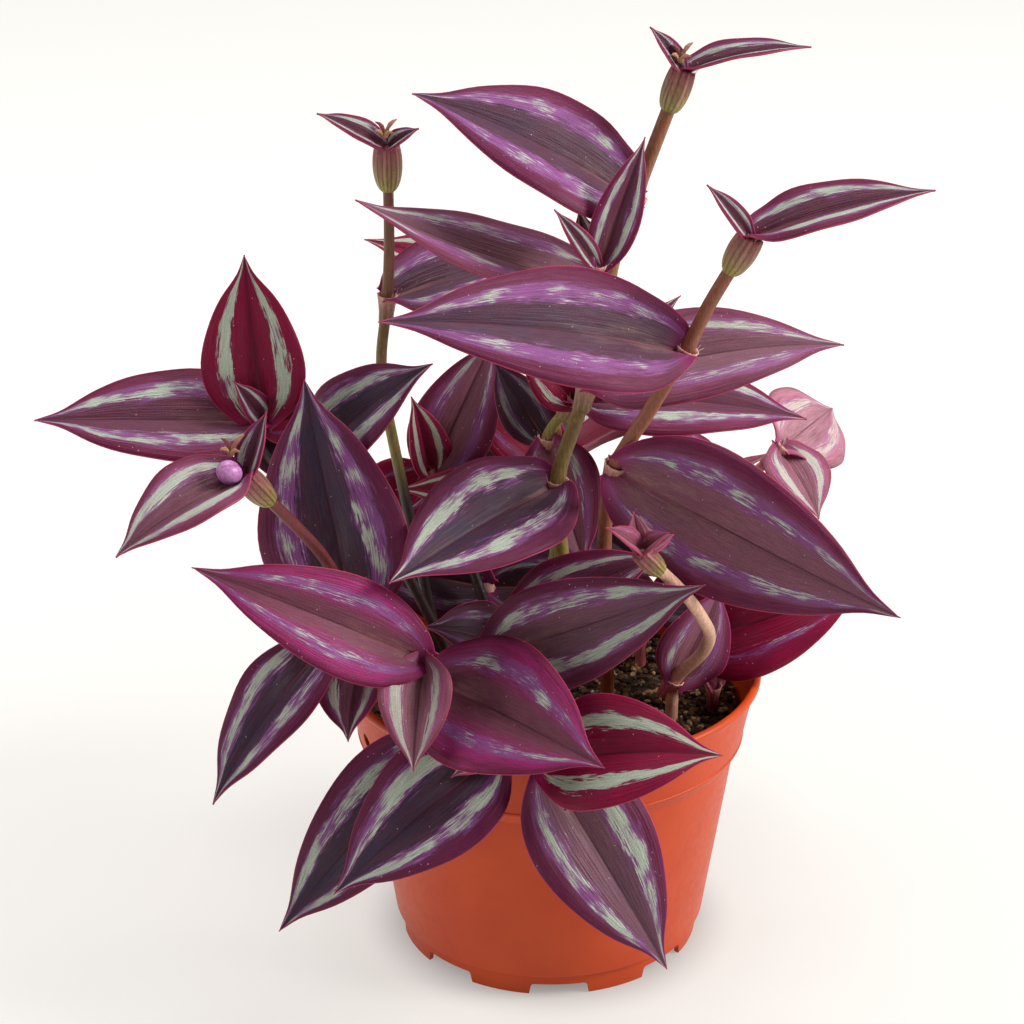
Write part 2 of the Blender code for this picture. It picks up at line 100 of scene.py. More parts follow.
def placedMesh(name, bm):
    # an object from a form drawn in mm round the pot's axis
    bmesh.ops.scale(bm, vec=(mm, mm, mm), verts=bm.verts[:])
    mesh = meshFrom(name, bm)
    mesh.transform(Matrix.Translation(potAxis))
    return placed(name, mesh)


def makePiece(name, bm, materials, node):
    piece = placedMesh(name, bm)
    for material in materials:
        piece.data.materials.append(material)
    piece.data.shade_smooth()
    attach(piece, "root")
    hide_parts(node)
    return piece


def sweep(bm, stations, sides, layer):
    # one skin through rings: each station is (centre, direction, radius, colour), and a
    # radius or a colour may be a function of the angle round the ring
    ring = bmesh.ops.create_circle(bm, segments=sides, radius=1)["verts"]
    first = list(ring)
    edges = list({edge for vert in ring for edge in vert.link_edges})
    angles = [2 * pi * number / sides for number in range(sides)]
    turn = None
    lastDirection = None
    for centre, direction, radius, colour in stations:
        if turn is None:
            turn = direction.to_track_quat("Z", "Y")
        else:
            turn = lastDirection.rotation_difference(direction) @ turn
            made = bmesh.ops.extrude_edge_only(bm, edges=edges)["geom"]
            edges = [part for part in made if isinstance(part, bmesh.types.BMEdge)]
            edges = [edge for edge in edges if all(vert not in ring for vert in edge.verts)]
            partner = {}
            fresh = {vert for edge in edges for vert in edge.verts}
            for vert in fresh:
                below = next(other for link in vert.link_edges
                             if (other := link.other_vert(vert)) not in fresh)
                partner[below] = vert
            ring = [partner[vert] for vert in ring]
        lastDirection = direction
        for vert, angle in zip(ring, angles):
            reach = radius(angle) if callable(radius) else radius
            vert.co = centre + turn @ Vector((reach * cos(angle), reach * sin(angle), 0))
            vert[layer] = colour(angle) if callable(colour) else colour
    for loop in (first, ring):
        bm.faces.new(loop)


def newMaterial(name):
    material = bpy.data.materials.new(name)
    material.use_nodes = True
    return material, material.node_tree.nodes["Principled BSDF"]


def newNode(owner, kind):
    # in the tree that the owner is in, which is a node or a socket
    return owner.id_data.nodes.new("ShaderNode" + kind)


def feed(socket, value):
    if isinstance(value, Signal):
        socket.id_data.links.new(value.socket, socket)
    else:
        socket.default_value = value


class Signal:
    # what a socket gives out: each sum, product or step of signals adds the node for it
    def __init__(self, socket):
        self.socket = socket

    def through(self, kind, *others, **settings):
        # a new node, fed with this signal and then with the others
        node = newNode(self.socket, kind)
        for setting, value in settings.items():
            setattr(node, setting, value)
        for socket, value in zip(node.inputs, (self, *others)):
            feed(socket, value)
        return Signal(node.outputs[0])

    def __add__(self, other):
        return self.through("Math", other, operation="ADD")

    def __sub__(self, other):
        return self.through("Math", other, operation="SUBTRACT")

    def __mul__(self, other):
        return self.through("Math", other, operation="MULTIPLY")

    def __truediv__(self, other):
        return self.through("Math", other, operation="DIVIDE")

    def __abs__(self):
        return self.through("Math", operation="ABSOLUTE")

    def atLeast(self, least):
        return self.through("Math", least, operation="MAXIMUM")

    def clamped(self):
        return self.through("Math", 0.0, operation="ADD", use_clamp=True)

    def step(self, start, end, low=0.0, high=1.0):
        # smoothly from low to high while the signal goes from start to end
        return self.through("MapRange", start, end, low, high, interpolation_type="SMOOTHSTEP")

    def grain(self, scale, detail=3.0, roughness=0.55):
        return self.through("TexNoise", 0.0, scale, detail, roughness)


def joined(x, y, z):
    return x.through("CombineXYZ", y, z)


def separated(colour):
    parts = newNode(colour.socket, "SeparateColor")
    feed(parts.inputs[0], colour)
    return [Signal(output) for output in parts.outputs]


def blend(share, first, second, mode="MIX"):
    owner = share if isinstance(share, Signal) else first
    node = newNode(owner.socket, "Mix")
    node.data_type = "RGBA"
    node.blend_type = mode
    for place, value in ((0, share), (6, first), (7, second)):
        feed(node.inputs[place], value)
    return Signal(node.outputs[2])


def shaded(colour, shade):
    return blend(1.0, colour, joined(shade, shade, shade), "MULTIPLY")


def objectPlace(shader):
    return Signal(newNode(shader, "TexCoord").outputs["Object"])


def namedUv(shader, name):
    node = newNode(shader, "UVMap")
    node.uv_map = name
    parts = newNode(shader, "SeparateXYZ")
    feed(parts.inputs[0], Signal(node.outputs[0]))
    return Signal(parts.outputs[0]), Signal(parts.outputs[1])


def namedColour(shader, name):
    node = newNode(shader, "Attribute")
    node.attribute_name = name
    return Signal(node.outputs["Color"]), Signal(node.outputs["Alpha"])


def dress(shader, colour, roughness, specular=0.5):
    feed(shader.inputs["Base Color"], colour)
    feed(shader.inputs["Roughness"], roughness)
    shader.inputs["Specular IOR Level"].default_value = specular


def addBump(shader, height, strength, distance):
    node = newNode(shader, "Bump")
    node.inputs["Strength"].default_value = strength
    node.inputs["Distance"].default_value = distance
    feed(node.inputs["Height"], height)
    feed(shader.inputs["Normal"], Signal(node.outputs[0]))


# leaf finish

leafPaint = {
    "centre": srgb(74, 45, 62), "slate": srgb(60, 46, 68), "dusk": srgb(136, 88, 104),
    "outer": srgb(96, 27, 62), "olive": srgb(158, 124, 112), "violet": srgb(134, 74, 132),
    "silver": srgb(176, 188, 170), "magenta": srgb(150, 34, 102), "crimson": srgb(128, 0, 50),
    "blush": srgb(198, 146, 158), "margin": srgb(192, 64, 104), "midrib": srgb(38, 10, 24),
    "ribLight": srgb(140, 76, 74), "rim": srgb(112, 20, 56), "fleck": srgb(222, 208, 204),
    "under": srgb(136, 8, 58), "underStripe": srgb(158, 46, 92),
    "bandAt": 0.55, "bandHalf": 0.11, "ragged": 0.4, "frayed": 0.3, "crisp": 34.0, "soft": 16.0,
}


def leafPattern(shader):
    # shared by both sides: where the point is on the blade, and streaks that run with the veins
    u, across = namedUv(shader, "leafMap")
    alongMm, acrossMm = namedUv(shader, "leafSpan")
    signed = across * 2.0 - 1.0
    seed = namedColour(shader, "leafTone")[1] * 60.0

    def streaks(along, acrossScale, detail, roughness=0.6):
        return joined(alongMm * along, signed * acrossScale, seed).grain(1.0, detail, roughness)

    return abs(signed), acrossMm, streaks, u, alongMm


def makeLeafTop():
    paint = leafPaint
    material, shader = newMaterial("leafTop")
    v, acrossMm, streaks, u, alongMm = leafPattern(shader)
    silver, crimson, pale = separated(namedColour(shader, "leafTone")[0])
    mood, depth = namedColour(shader, "leafMood")
    strength, flush, grey = separated(mood)
    streak = streaks(0.085, 11.0, 5.0, 0.65)
    fine = streaks(0.22, 46.0, 3.0)
    patch = streaks(0.1, 3.4, 2.0, 0.5)
    cloud = streaks(0.09, 5.0, 3.0)

    # the ground: dark along the middle, redder to the edges, with a painted sheen near the foot
    ground = blend(cloud.step(0.35, 0.65), paint["centre"], paint["slate"])
    # a paler dusky ground on grey leaves: partly their own tone, partly a painted sheen on leaves
    # that catch the light
    ground = blend(grey, ground, paint["dusk"])
    # painted sheen: an olive-grey highlight over the middle of the blade towards its foot,
    # stronger on grey leaves
    sheen = u.step(0.6, 0.05) * v.step(0.45, 0.05) * cloud.step(0.4, 0.7)
    ground = blend(sheen * grey.step(0.0, 0.8, 0.4, 0.7), ground, paint["olive"])
    ground = blend((streak * 0.2 + v).step(0.62, 0.98), ground, paint["outer"])
    ground = blend(crimson * patch.step(0.2, 0.6, 0.75, 1.0), ground, paint["crimson"])
    offGlow = abs((streak - 0.5) * 0.5 + v - 0.62)
    glow = offGlow.step(flush.step(0.4, 1.0, 0.24, 0.4), 0.12)
    glow = glow * flush * cloud.step(0.3, 0.6, 0.45, 1.0) * u.step(0.0, 0.2, 0.3, 1.0)
    ground = blend(glow, ground, paint["magenta"])

    # the ragged band on each half
    loose = (streak - 0.5) * paint["ragged"] + (fine - 0.5) * paint["frayed"] + v
    offBand = abs(loose - paint["bandAt"])
    half = u.step(0.0, 0.2, -0.02, paint["bandHalf"]) * patch.step(0.25, 0.65, 0.5, 1.25)
    half = half * strength.step(0.0, 1.0, 0.35, 1.05)
    band = ((half - offBand) * paint["crisp"] + 0.5).clamped()
    wide = cloud * 0.16 - 0.02 + half
    fringe = ((wide - offBand) * paint["soft"] + 0.5).clamped()
    colour = blend(fringe * crimson.step(0.1, 0.7, 0.85, 0.1), ground, paint["violet"])
    lively = (patch - 0.5) * 6.0 + (fine - 0.5) * 4.5 + (silver - 0.5) * 2.6 + 0.5
    inside = blend(lively.clamped(), paint["violet"], paint["silver"])
    colour = blend(band * 0.94, colour, inside)
    colour = blend(pale * cloud.step(0.3, 0.6, 0.5, 1.0), colour, paint["blush"])

    # fine grain of veins and speckle, painted shade on the deep leaves of the shade tone, and
    # flecks of dust
    blade = joined(alongMm, acrossMm, 0.0)
    speckle = blade.grain(2.6, 2.0, 0.6)
    # painted shade: depth, from leafMood, darkens the leaves of the shade tone
    shade = fine.step(0.25, 0.75, 0.78, 1.18) * speckle.step(0.3, 0.7, 0.84, 1.14) * depth
    colour = shaded(colour, shade)
    flecks = newNode(shader, "TexVoronoi")
    flecks.inputs["Scale"].default_value = 0.62
    feed(flecks.inputs["Vector"], blade)
    chosen = separated(Signal(flecks.outputs["Color"]))[0].step(0.7, 0.8)
    dots = Signal(flecks.outputs["Distance"]).step(0.12, 0.05) * chosen
    colour = blend(dots * 0.6, colour, paint["fleck"])

    # the foot, the midrib and the margin
    colour = blend(u.step(0.1, 0.0) * 0.6, colour, paint["magenta"])
    fromRib = abs(acrossMm)
    ribColour = blend(u.step(0.45, 0.1), paint["midrib"], paint["ribLight"])
    colour = blend(fromRib.step(0.34, 0.12) * u.step(0.98, 0.4, 0.3, 0.7), colour, ribColour)
    toEdge = fromRib / v.atLeast(0.05) - fromRib
    colour = blend(toEdge.step(0.28, 0.08) * 0.8, colour, paint["margin"])
    dress(shader, colour, streak.step(0.3, 0.7, 0.4, 0.54), 0.2)
    groove = fromRib.step(1.1, 0.0, 0.0, -0.8)
    addBump(shader, speckle * 0.3 + streaks(0.03, 22.0, 3.0) + groove, 0.45, 0.0009)
    return material


def makeLeafUnder():
    paint = leafPaint
    material, shader = newMaterial("leafUnder")
    v, acrossMm, streaks = leafPattern(shader)[:3]
    stripe = abs(v - paint["bandAt"]).step(0.3, 0.1, 0.0, 0.5)
    colour = blend(stripe, paint["under"], paint["underStripe"])
    colour = blend(streaks(0.05, 11.0, 4.0).step(0.4, 0.7, 0.0, 0.5), colour, paint["crimson"])
    colour = blend(abs(acrossMm).step(0.8, 0.3, 0.0, 0.5), colour, paint["blush"])
    dress(shader, colour, 0.46)
    addBump(shader, streaks(0.05, 30.0, 3.0), 0.4, 0.0006)
    return material


def makeLeafEdge():
    material, shader = newMaterial("leafEdge")
    spots = objectPlace(shader).grain(600.0)
    dress(shader, blend(spots, leafPaint["margin"], leafPaint["rim"]), 0.5)
    return material


leafMaterials = [makeLeafTop(), makeLeafUnder(), makeLeafEdge()]

# silver, crimson, pale, and then band strength, magenta flush and dusky ground, the last partly a
# painted sheen
tones = {
    "plum": (0.62, 0.0, 0.0, 0.9, 0.1, 0.0), "indigo": (0.4, 0.0, 0.0, 0.85, 0.05, 0.0),
    "violet": (0.25, 0.05, 0.0, 0.6, 0.2, 0.1), "magenta": (0.3, 0.3, 0.0, 0.4, 1.0, 0.45),
    "ash": (0.66, 0.0, 0.0, 0.9, 0.1, 0.55), "lilac": (0.4, 0.05, 0.1, 0.7, 0.3, 0.55),
    "dusk": (0.35, 0.1, 0.0, 0.4, 0.1, 0.8), "wine": (0.7, 0.25, 0.0, 0.85, 0.15, 0.15),
    "rosy": (0.5, 0.25, 0.0, 0.75, 0.25, 0.2), "crimson": (0.95, 0.95, 0.0, 1.0, 0.0, 0.0),
    "blood": (0.2, 1.0, 0.0, 0.0, 0.1, 0.0), "shade": (0.4, 0.1, 0.0, 0.5, 0.0, 0.0),
    "boat": (0.95, 0.2, 0.08, 1.0, 0.5, 0.3), "pink": (0.95, 0.3, 0.25, 1.0, 0.7, 0.4),
    "pale": (0.7, 0.15, 0.55, 0.8, 0.8, 0.5), "grey": (0.7, 0.0, 0.5, 0.6, 0.2, 0.4),
    "bract": (0.3, 0.9, 0.3, 0.0, 0.5, 0.0),
}

leafShape = {"grid": (34, 18), "smallGrid": (20, 12), "smallUpTo": 30, "thickness": 0.42,
             "footPower": 0.55, "tipPower": 1.08, "fullest": 0.352, "tipHalf": 0.5,
             "tipPinch": 0.34, "ripple": 0.035, "ripples": 15, "dome": 0.1, "claspReach": 0.07,
             "claspHalf": (0.2, 4.2), "claspFold": 38.0, "claspBack": 2.2, "arch": 0.06,
             "fold": 12, "shadeDepth": 0.4}


# stalk finish

barkPaint = {
    "olive": srgb(138, 128, 58), "brown": srgb(134, 72, 44), "maroon": srgb(112, 44, 44),
    "wine": srgb(112, 32, 54), "rose": srgb(188, 108, 108), "cream": srgb(208, 162, 136),
    "leafGreen": srgb(158, 164, 76), "pleat": srgb(112, 34, 52), "hair": srgb(228, 212, 204),
    "nodeRing": srgb(120, 36, 52), "mouth": srgb(222, 160, 146), "cup": srgb(146, 84, 80),
    "pinkRing": srgb(176, 52, 96), "shadow": srgb(44, 26, 28),
}


def makeStalkFinish():
    material, shader = newMaterial("stalkSkin")
    place = objectPlace(shader)
    stretched = place.through("Mapping", (0, 0, 0), (0, 0, 0), (1.0, 1.0, 0.16))
    streaks = stretched.grain(1900.0)
    spots = place.grain(900.0, 2.0)
    shade = streaks.step(0.3, 0.7, 0.74, 1.14) + spots.step(0.6, 0.7, 0.0, 0.3)
    colour = shaded(namedColour(shader, "bark")[0], shade)
    dress(shader, colour, spots.step(0.3, 0.7, 0.38, 0.52))
    addBump(shader, streaks, 0.5, 0.0004)
    return material


stalkMaterial = makeStalkFinish()

stalkShape = {"sides": 12, "steps": 10, "rootZ": 45.0, "taper": 0.12, "nodeSwell": 0.3,
              "dimFade": 12, "sheathBelow": 6.6, "sheathAbove": 1.9, "mouthOut": 1.15,
              "pleats": 9, "sheathSides": 27, "cupPleats": 8, "cupRibs": 16, "cupSides": 64,
              "hairs": 9, "hairLength": 2.4, "hairRadius": (0.09, 0.03)}


# stems and leaves
# leaves: (point of the route, heading, rise, length, width, way its face looks, tone), then arch
# and fold where they are not the usual ones of leafShape. dim: height under which the stalk gets
# painted shade, as if deep in the thicket. goblet: length and radius of the swollen sheath that
# ends a flowering stem.

stems = {}
stems["stem_tall"] = [
    {"radius": 2.1, "bark": ("olive", "brown"), "goblet": (9, 3.9),
     "route": [(4, 8, 78), (3, -4, 116), (1, -12, 142), (9, -9, 169), (14, -5, 196),
               (21, -1, 218), (33, 2, 251)],
     "leaves": [
         (2, -131, -6, 66, 36, (-110, 35), "plum", 0.02, 12),
         (3, 3, 9, 70, 30, (-80, 52), "lilac", 0.09, 12),
         (4, -164, 23, 73, 30, (-100, 68), "lilac", -0.04, 12),
         (5, -170, 28, 66, 35, (-100, 54), "violet"),
         (6, -3, 13, 34, 13, (-90, 75), "wine", 0.05, 30),
         (6, 180, 56, 15, 7, (-90, 60), "wine", 0.05, 38),
     ]},
    {"radius": 1.5, "bark": ("wine", "wine"),
     "route": [(9, -9, 169), (11, -16, 187), (11, -20, 205)],
     "leaves": [
         (2, 34, 66, 36, 13, (-90, 0), "wine", 0.03, 20),
         (2, -158, 55, 21, 7, (-60, 20), "wine", 0.03, 30),
         (2, 110, 42, 19, 7, (-90, 20), "wine", 0.03, 20),
     ]},
]
stems["stem_right"] = [
    {"radius": 2, "bark": ("brown", "brown"), "goblet": (9, 3.9),
     "route": [(16, -8, 78), (14, -20, 130), (16, -28, 153), (25, -31, 171), (33, -34, 187),
               (39, -36, 201), (48, -38, 218)],
     "leaves": [
         (2, -33, -15, 86, 38, (-80, 4), "dusk", 0.03, 4),
         (4, -160, 12, 83, 35, (-90, 45), "violet"),
         (6, -5, 17, 47, 21, (-90, 70), "wine", 0.04, 20),
         (6, -162, 52, 19, 7, (-90, 50), "wine", 0.04, 35),
     ]},
]
stems["stem_left_thin"] = [
    {"radius": 1.6, "bark": ("olive", "maroon"), "goblet": (10, 3.5), "dim": 142,
     "route": [(-32, 15, 78), (-44, 12, 144), (-47, 10, 168), (-45, 8, 188), (-44, 7, 206),
               (-44, 6, 230)],
     "leaves": [
         (3, 20, 8, 52, 30, (-90, 60), "violet"),
         (5, -174, 30, 21, 9, (-90, 60), "wine", 0.05, 30),
         (5, -15, 37, 11, 7, (-90, 60), "wine", 0.05, 30),
     ]},
]
stems["stem_left_front"] = [
    {"radius": 1.7, "bark": ("maroon", "maroon"), "goblet": (9, 3.6),
     "route": [(-34, -22, 78), (-44, -34, 103), (-52, -40, 115), (-60, -48, 137),
               (-76.8, -60, 162.8)],
     "leaves": [
         (2, 129, 71, 65, 41, (-100, 10), "indigo", 0.04, 12),
         (4, -145, -18, 39, 24, (-90, 68), "boat", 0.07, 28),
         (4, 22, 72, 18, 9, (-120, 20), "wine", 0.04, 35),
     ]},
]
stems["stem_left_back"] = [
    {"radius": 1.6, "bark": ("olive", "wine"), "dim": 128,
     "route": [(-26, 2, 78), (-46, -4, 122), (-66, -12, 147), (-77, -17, 162)],
     "leaves": [
         (2, -23, 43, 51, 30, (-90, 55), "plum"),
         (3, -168, 5, 60, 31, (-110, 52), "rosy", 0.01, 12),
         (3, 125, 81, 45, 29, (-95, 0), "crimson", 0.03, 20),
         (3, -128, 54, 18, 9, (-60, 20), "wine", 0.03, 30),
         (3, -15, -55, 22, 16, (-90, 20), "shade"),
         (3, -15, 12, 17, 14, (-90, 35), "blood"),
     ]},
]
stems["stem_front_left"] = [
    {"radius": 1.8, "bark": ("olive", "wine"), "dim": 112,
     "route": [(-22, -18, 78), (-31, -43, 98), (-34, -53, 109)],
     "leaves": [
         (2, -167, 29, 67, 27, (-100, 38), "magenta"),
         (1, -48, 0, 64, 39, (-72, 24), "magenta", 0.03, 12),
         (2, -96, -44, 30, 23, (-100, 30), "pink", 0.05, 40),
     ]},
]
stems["stem_left_low"] = [
    {"radius": 1.6, "bark": ("olive", "wine"),
     "route": [(-40, -10, 78), (-52, -24, 96), (-60, -35, 106)],
     "leaves": [
         (1, -94, -16, 33, 22, (-110, 40), "wine"),
         (2, -137, -40, 53, 27, (-130, 30), "plum"),
     ]},
]
stems["stem_front_low"] = [
    {"radius": 1.7, "bark": ("wine", "wine"),
     "route": [(-32, -30, 78), (-36, -44, 90), (-28, -56, 89), (-14, -59, 86), (-3, -66, 86),
               (3, -69, 84)],
     "leaves": [
         (2, -170, -50, 72, 29, (-104, 24), "plum", 0.04, 12),
         (3, -153, -32, 57, 33, (-105, 36), "plum", 0.05, 12),
         (3, -145, -11, 16, 8, (-90, 50), "pink"),
         (4, -20, 13, 49, 32, (-60, 40), "crimson", 0.1, 12),
         (4, -29, -54, 63, 33, (-80, 25), "ash"),
         (5, -132, -62, 13, 8, (-90, 30), "wine"),
     ]},
]
stems["stem_front_middle"] = [
    {"radius": 1.8, "bark": ("olive", "wine"),
     "route": [(-8, -10, 78), (-9, -18, 95), (-11, -28, 108), (-17, -38, 103)],
     "leaves": [
         (1, -139, 28, 38, 22, (-90, 50), "shade"),
         (2, -3, 28, 46, 22, (-80, 50), "wine"),
         (3, -24, 28, 68, 29, (-80, 25), "ash", 0.04, 12),
     ]},
]
stems["stem_arching"] = [
    {"radius": 1.8, "bark": ("cream", "cream"), "goblet": (7, 3),
     "route": [(34, -13, 78), (34, -14, 84), (41, -22, 96), (42, -34, 107), (39, -47, 118),
               (33, -54, 129), (22, -59, 142)],
     "leaves": [
         (1, 25, 61, 30, 22, (-60, 30), "dusk"),
         (6, -147, 41, 15, 8, (-90, 60), "bract", 0.05, 30),
         (6, -38, 46, 11, 7, (-90, 60), "bract", 0.05, 30),
         (6, 120, 65, 11, 7, (-90, 20), "bract", 0.05, 30),
         (6, 30, 20, 10, 6, (-90, 60), "bract", 0.05, 30),
     ]},
]
stems["stem_right_low"] = [
    {"radius": 1.7, "bark": ("rose", "wine"),
     "route": [(36, 6, 78), (39, 0, 88), (48, 8, 100)],
     "leaves": [
         (1, -6, 22, 54, 32, (-60, 40), "blood"),
         (2, 40, 25, 40, 24, (10, 50), "crimson"),
     ]},
]
stems["stem_right_back"] = [
    {"radius": 1.6, "bark": ("rose", "rose"),
     "route": [(27, 22, 78), (46, 34, 112), (67, 36, 134)],
     "leaves": [
         (1, 20, 8, 40, 26, (30, 50), "grey"),
         (2, 55, 6, 33, 30, (-90, 30), "pale"),
         (2, -60, -35, 25, 22, (-60, 30), "pink"),
     ]},
    {"radius": 1.4, "bark": ("olive", "wine"),
     "route": [(27, 22, 78), (29, 25, 84), (31, 28, 89)],
     "leaves": [
         (2, 184, 5, 27, 22, (-90, 30), "shade"),
         (2, -4, 8, 33, 24, (-90, 30), "shade"),
     ]},
]
stems["stem_centre"] = [
    {"radius": 1.7, "bark": ("olive", "olive"),
     "route": [(-3, 22, 78), (3, 22, 122), (-1, 19, 143), (6, 16, 156)],
     "leaves": [
         (1, -176, 8, 48, 20, (-90, 50), "crimson"),
         (1, -20, -30, 36, 24, (-90, 30), "shade"),
         (2, -60, -55, 38, 24, (-100, 30), "dusk"),
         (2, 140, 45, 28, 16, (-90, 10), "shade"),
         (3, -1, -4, 66, 31, (-80, 60), "rosy"),
         (3, 200, 50, 26, 15, (-90, 30), "crimson"),
         (3, -30, 35, 24, 12, (-90, 60), "crimson"),
         (3, 24, 39, 43, 16, (-90, 40), "wine"),
     ]},
]
stems["stem_left_middle"] = [
    {"radius": 1.6, "bark": ("cream", "cream"), "dim": 122,
     "route": [(-15, 24, 78), (-27, 33, 110), (-35, 34, 127)],
     "leaves": [
         (1, 60, 40, 36, 20, (-90, 20), "shade"),
         (2, 18, 64, 46, 25, (-90, 10), "dusk"),
         (2, -132, 75, 27, 15, (-60, 10), "crimson", 0.04, 35),
         (2, -170, -25, 34, 22, (-90, 10), "blood"),
     ]},
    {"radius": 1.4, "bark": ("olive", "wine"),
     "route": [(-15, 24, 78), (-17, 31, 84), (-18, 36, 90)],
     "leaves": [
         (2, 180, 12, 40, 26, (-90, 25), "shade"),
         (2, 0, 0, 42, 26, (-90, 30), "shade"),
     ]},
]
stems["stem_back_high"] = [
    {"radius": 1.8, "bark": ("olive", "brown"),
     "route": [(6, 42, 78), (3, 46, 126), (-3, 36, 176)],
     "leaves": [
         (1, 90, 10, 54, 30, (90, 60), "plum"),
         (1, 8, 22, 50, 28, (60, 50), "violet"),
         (1, 172, 38, 40, 22, (-90, 30), "blood"),
         (2, 178, 23, 54, 26, (-90, 55), "crimson"),
         (2, 95, 0, 40, 24, (90, 60), "plum"),
     ]},
]
stems["stem_back_right"] = [
    {"radius": 1.7, "bark": ("olive", "wine"),
     "route": [(24, 38, 78), (34, 54, 100), (44, 64, 106)],
     "leaves": [
         (1, 20, 30, 44, 26, (60, 50), "plum"),
         (2, 60, -40, 56, 30, (60, 35), "violet"),
         (2, 143, -5, 46, 26, (110, 60), "plum"),
         (2, 95, 15, 44, 26, (90, 65), "dusk"),
     ]},
]
stems["stem_back"] = [
    {"radius": 1.7, "bark": ("olive", "wine"),
     "route": [(-6, 36, 78), (-6, 54, 104), (-8, 68, 108)],
     "leaves": [
         (1, 160, 35, 44, 26, (120, 50), "violet"),
         (2, 80, -45, 60, 32, (90, 30), "plum"),
         (2, 128, -32, 44, 26, (120, 45), "indigo"),
         (2, 60, 8, 46, 27, (80, 65), "plum"),
     ]},
]
stems["stem_back_left"] = [
    {"radius": 1.7, "bark": ("olive", "wine"),
     "route": [(-30, 34, 78), (-42, 50, 100), (-50, 60, 106)],
     "leaves": [
         (1, 170, 40, 34, 22, (120, 50), "plum"),
         (2, 110, -45, 56, 30, (120, 30), "dusk"),
         (2, 85, -5, 42, 26, (90, 50), "violet"),
         (2, 138, -12, 38, 24, (130, 60), "plum"),
     ]},
]
stems["young_sprout"] = [
    {"radius": 1.2, "bark": ("wine", "wine"),
     "route": [(46, -7, 74), (46, -8, 78)],
     "leaves": [
         (1, 60, 55, 9, 5, (-60, 30), "bract", 0.05, 25),
         (1, -130, 50, 8, 5, (-60, 40), "bract", 0.05, 25),
     ]},
]


def smoothRoute(places, steps):
    # points on a smooth curve through the route's own points
    ends = [places[0] * 2 - places[1], *places, places[-1] * 2 - places[-2]]
    route = []
    for before, start, end, after in zip(ends, ends[1:], ends[2:], ends[3:]):
        for step in range(steps):
            t = step / steps
            route.append(0.5 * (2 * start + (end - before) * t
                                + (2 * before - 5 * start + 4 * end - after) * t ** 2
                                + (3 * start - before - 3 * end + after) * t ** 3))
    return route + [places[-1]]


def directionsOf(course):
    return [(course[min(i + 1, len(course) - 1)] - course[max(i - 1, 0)]).normalized()
            for i in range(len(course))]


def growLeaf(bm, leaf, base, seed, layers):
    heading, rise, length, width, face, tone, *bend = leaf
    mapLayer, spanLayer, toneLayer, moodLayer = layers
    shape = leafShape
    arch, fold = bend or (shape["arch"], shape["fold"])
    rows, columns = shape["grid"] if length > shape["smallUpTo"] else shape["smallGrid"]
    along = headingVector(heading, rise)
    looks = headingVector(*face)
    up = (looks - along * looks.dot(along)).normalized()
    side = up.cross(along)
    made = bmesh.ops.create_grid(bm, x_segments=rows, y_segments=columns, size=1)["verts"]
    tint = tones[tone]
    claspShare, claspMost = shape["claspHalf"]
    claspHalf = min(width * claspShare, claspMost)
    place = {}
    for vert in made:
        u = min(max(0.5 - 0.5 * cos(pi * (vert.co.x + 1) / 2), 0), 1)
        v = vert.co.y
        ovate = u ** shape["footPower"] * (1 - u) ** shape["tipPower"] / shape["fullest"]
        clasp = bump(u, shape["claspReach"])
        ovate *= 1 - shape["tipPinch"] * bump(u - 0.93, 0.1)
        half = max(width / 2 * ovate, claspHalf * clasp, shape["tipHalf"] * (1 - u) + 0.12)
        lift = radians(fold) * (1 - 0.5 * u) + radians(shape["claspFold"]) * clasp
        bow = 4 * u * (1 - u) * length
        dome = shape["dome"] * half * (1 - (2 * abs(v) - 1) ** 2)
        wave = sin(u * shape["ripples"] + seed * 40 + (2 if v > 0 else 0))
        wave *= shape["ripple"] * half * abs(v) ** 3
        across = v * half * cos(lift)
        height = abs(v) * half * sin(lift) + dome + arch * bow + wave * u ** 0.3
        back = shape["claspBack"] * clasp * abs(v)
        vert.co = base + along * (length * u - back) + side * across + up * height
        vert[toneLayer] = (*tint[:3], seed)
        # painted shade: leaves of the shade tone are darkened by shadeDepth, as if deep in the
        # plant
        vert[moodLayer] = (*tint[3:], shape["shadeDepth"] if tone == "shade" else 1.0)
        place[vert] = (u, v, length * u, v * half)
    for vert in made:
        for loop in vert.link_loops:
            u, v, alongMm, acrossMm = place[vert]
            loop[mapLayer].uv = (u, v / 2 + 0.5)
            loop[spanLayer].uv = (alongMm, acrossMm)


def makeLeaves(name, node, shoots):
    bm = bmesh.new()
    layers = (bm.loops.layers.uv.new("leafMap"), bm.loops.layers.uv.new("leafSpan"),
              bm.verts.layers.float_color.new("leafTone"),
              bm.verts.layers.float_color.new("leafMood"))
    for shoot in shoots:
        places = [Vector(point) for point in shoot["route"]]
        for at, *leaf in shoot["leaves"]:
            growLeaf(bm, leaf, places[at], dice.random(), layers)
    leaves = makePiece(name, bm, leafMaterials, node)
    skin = leaves.modifiers.new("thickness", "SOLIDIFY")
    skin.thickness = leafShape["thickness"] * mm
    skin.offset = -1
    skin.material_offset = 1
    skin.material_offset_rim = 2


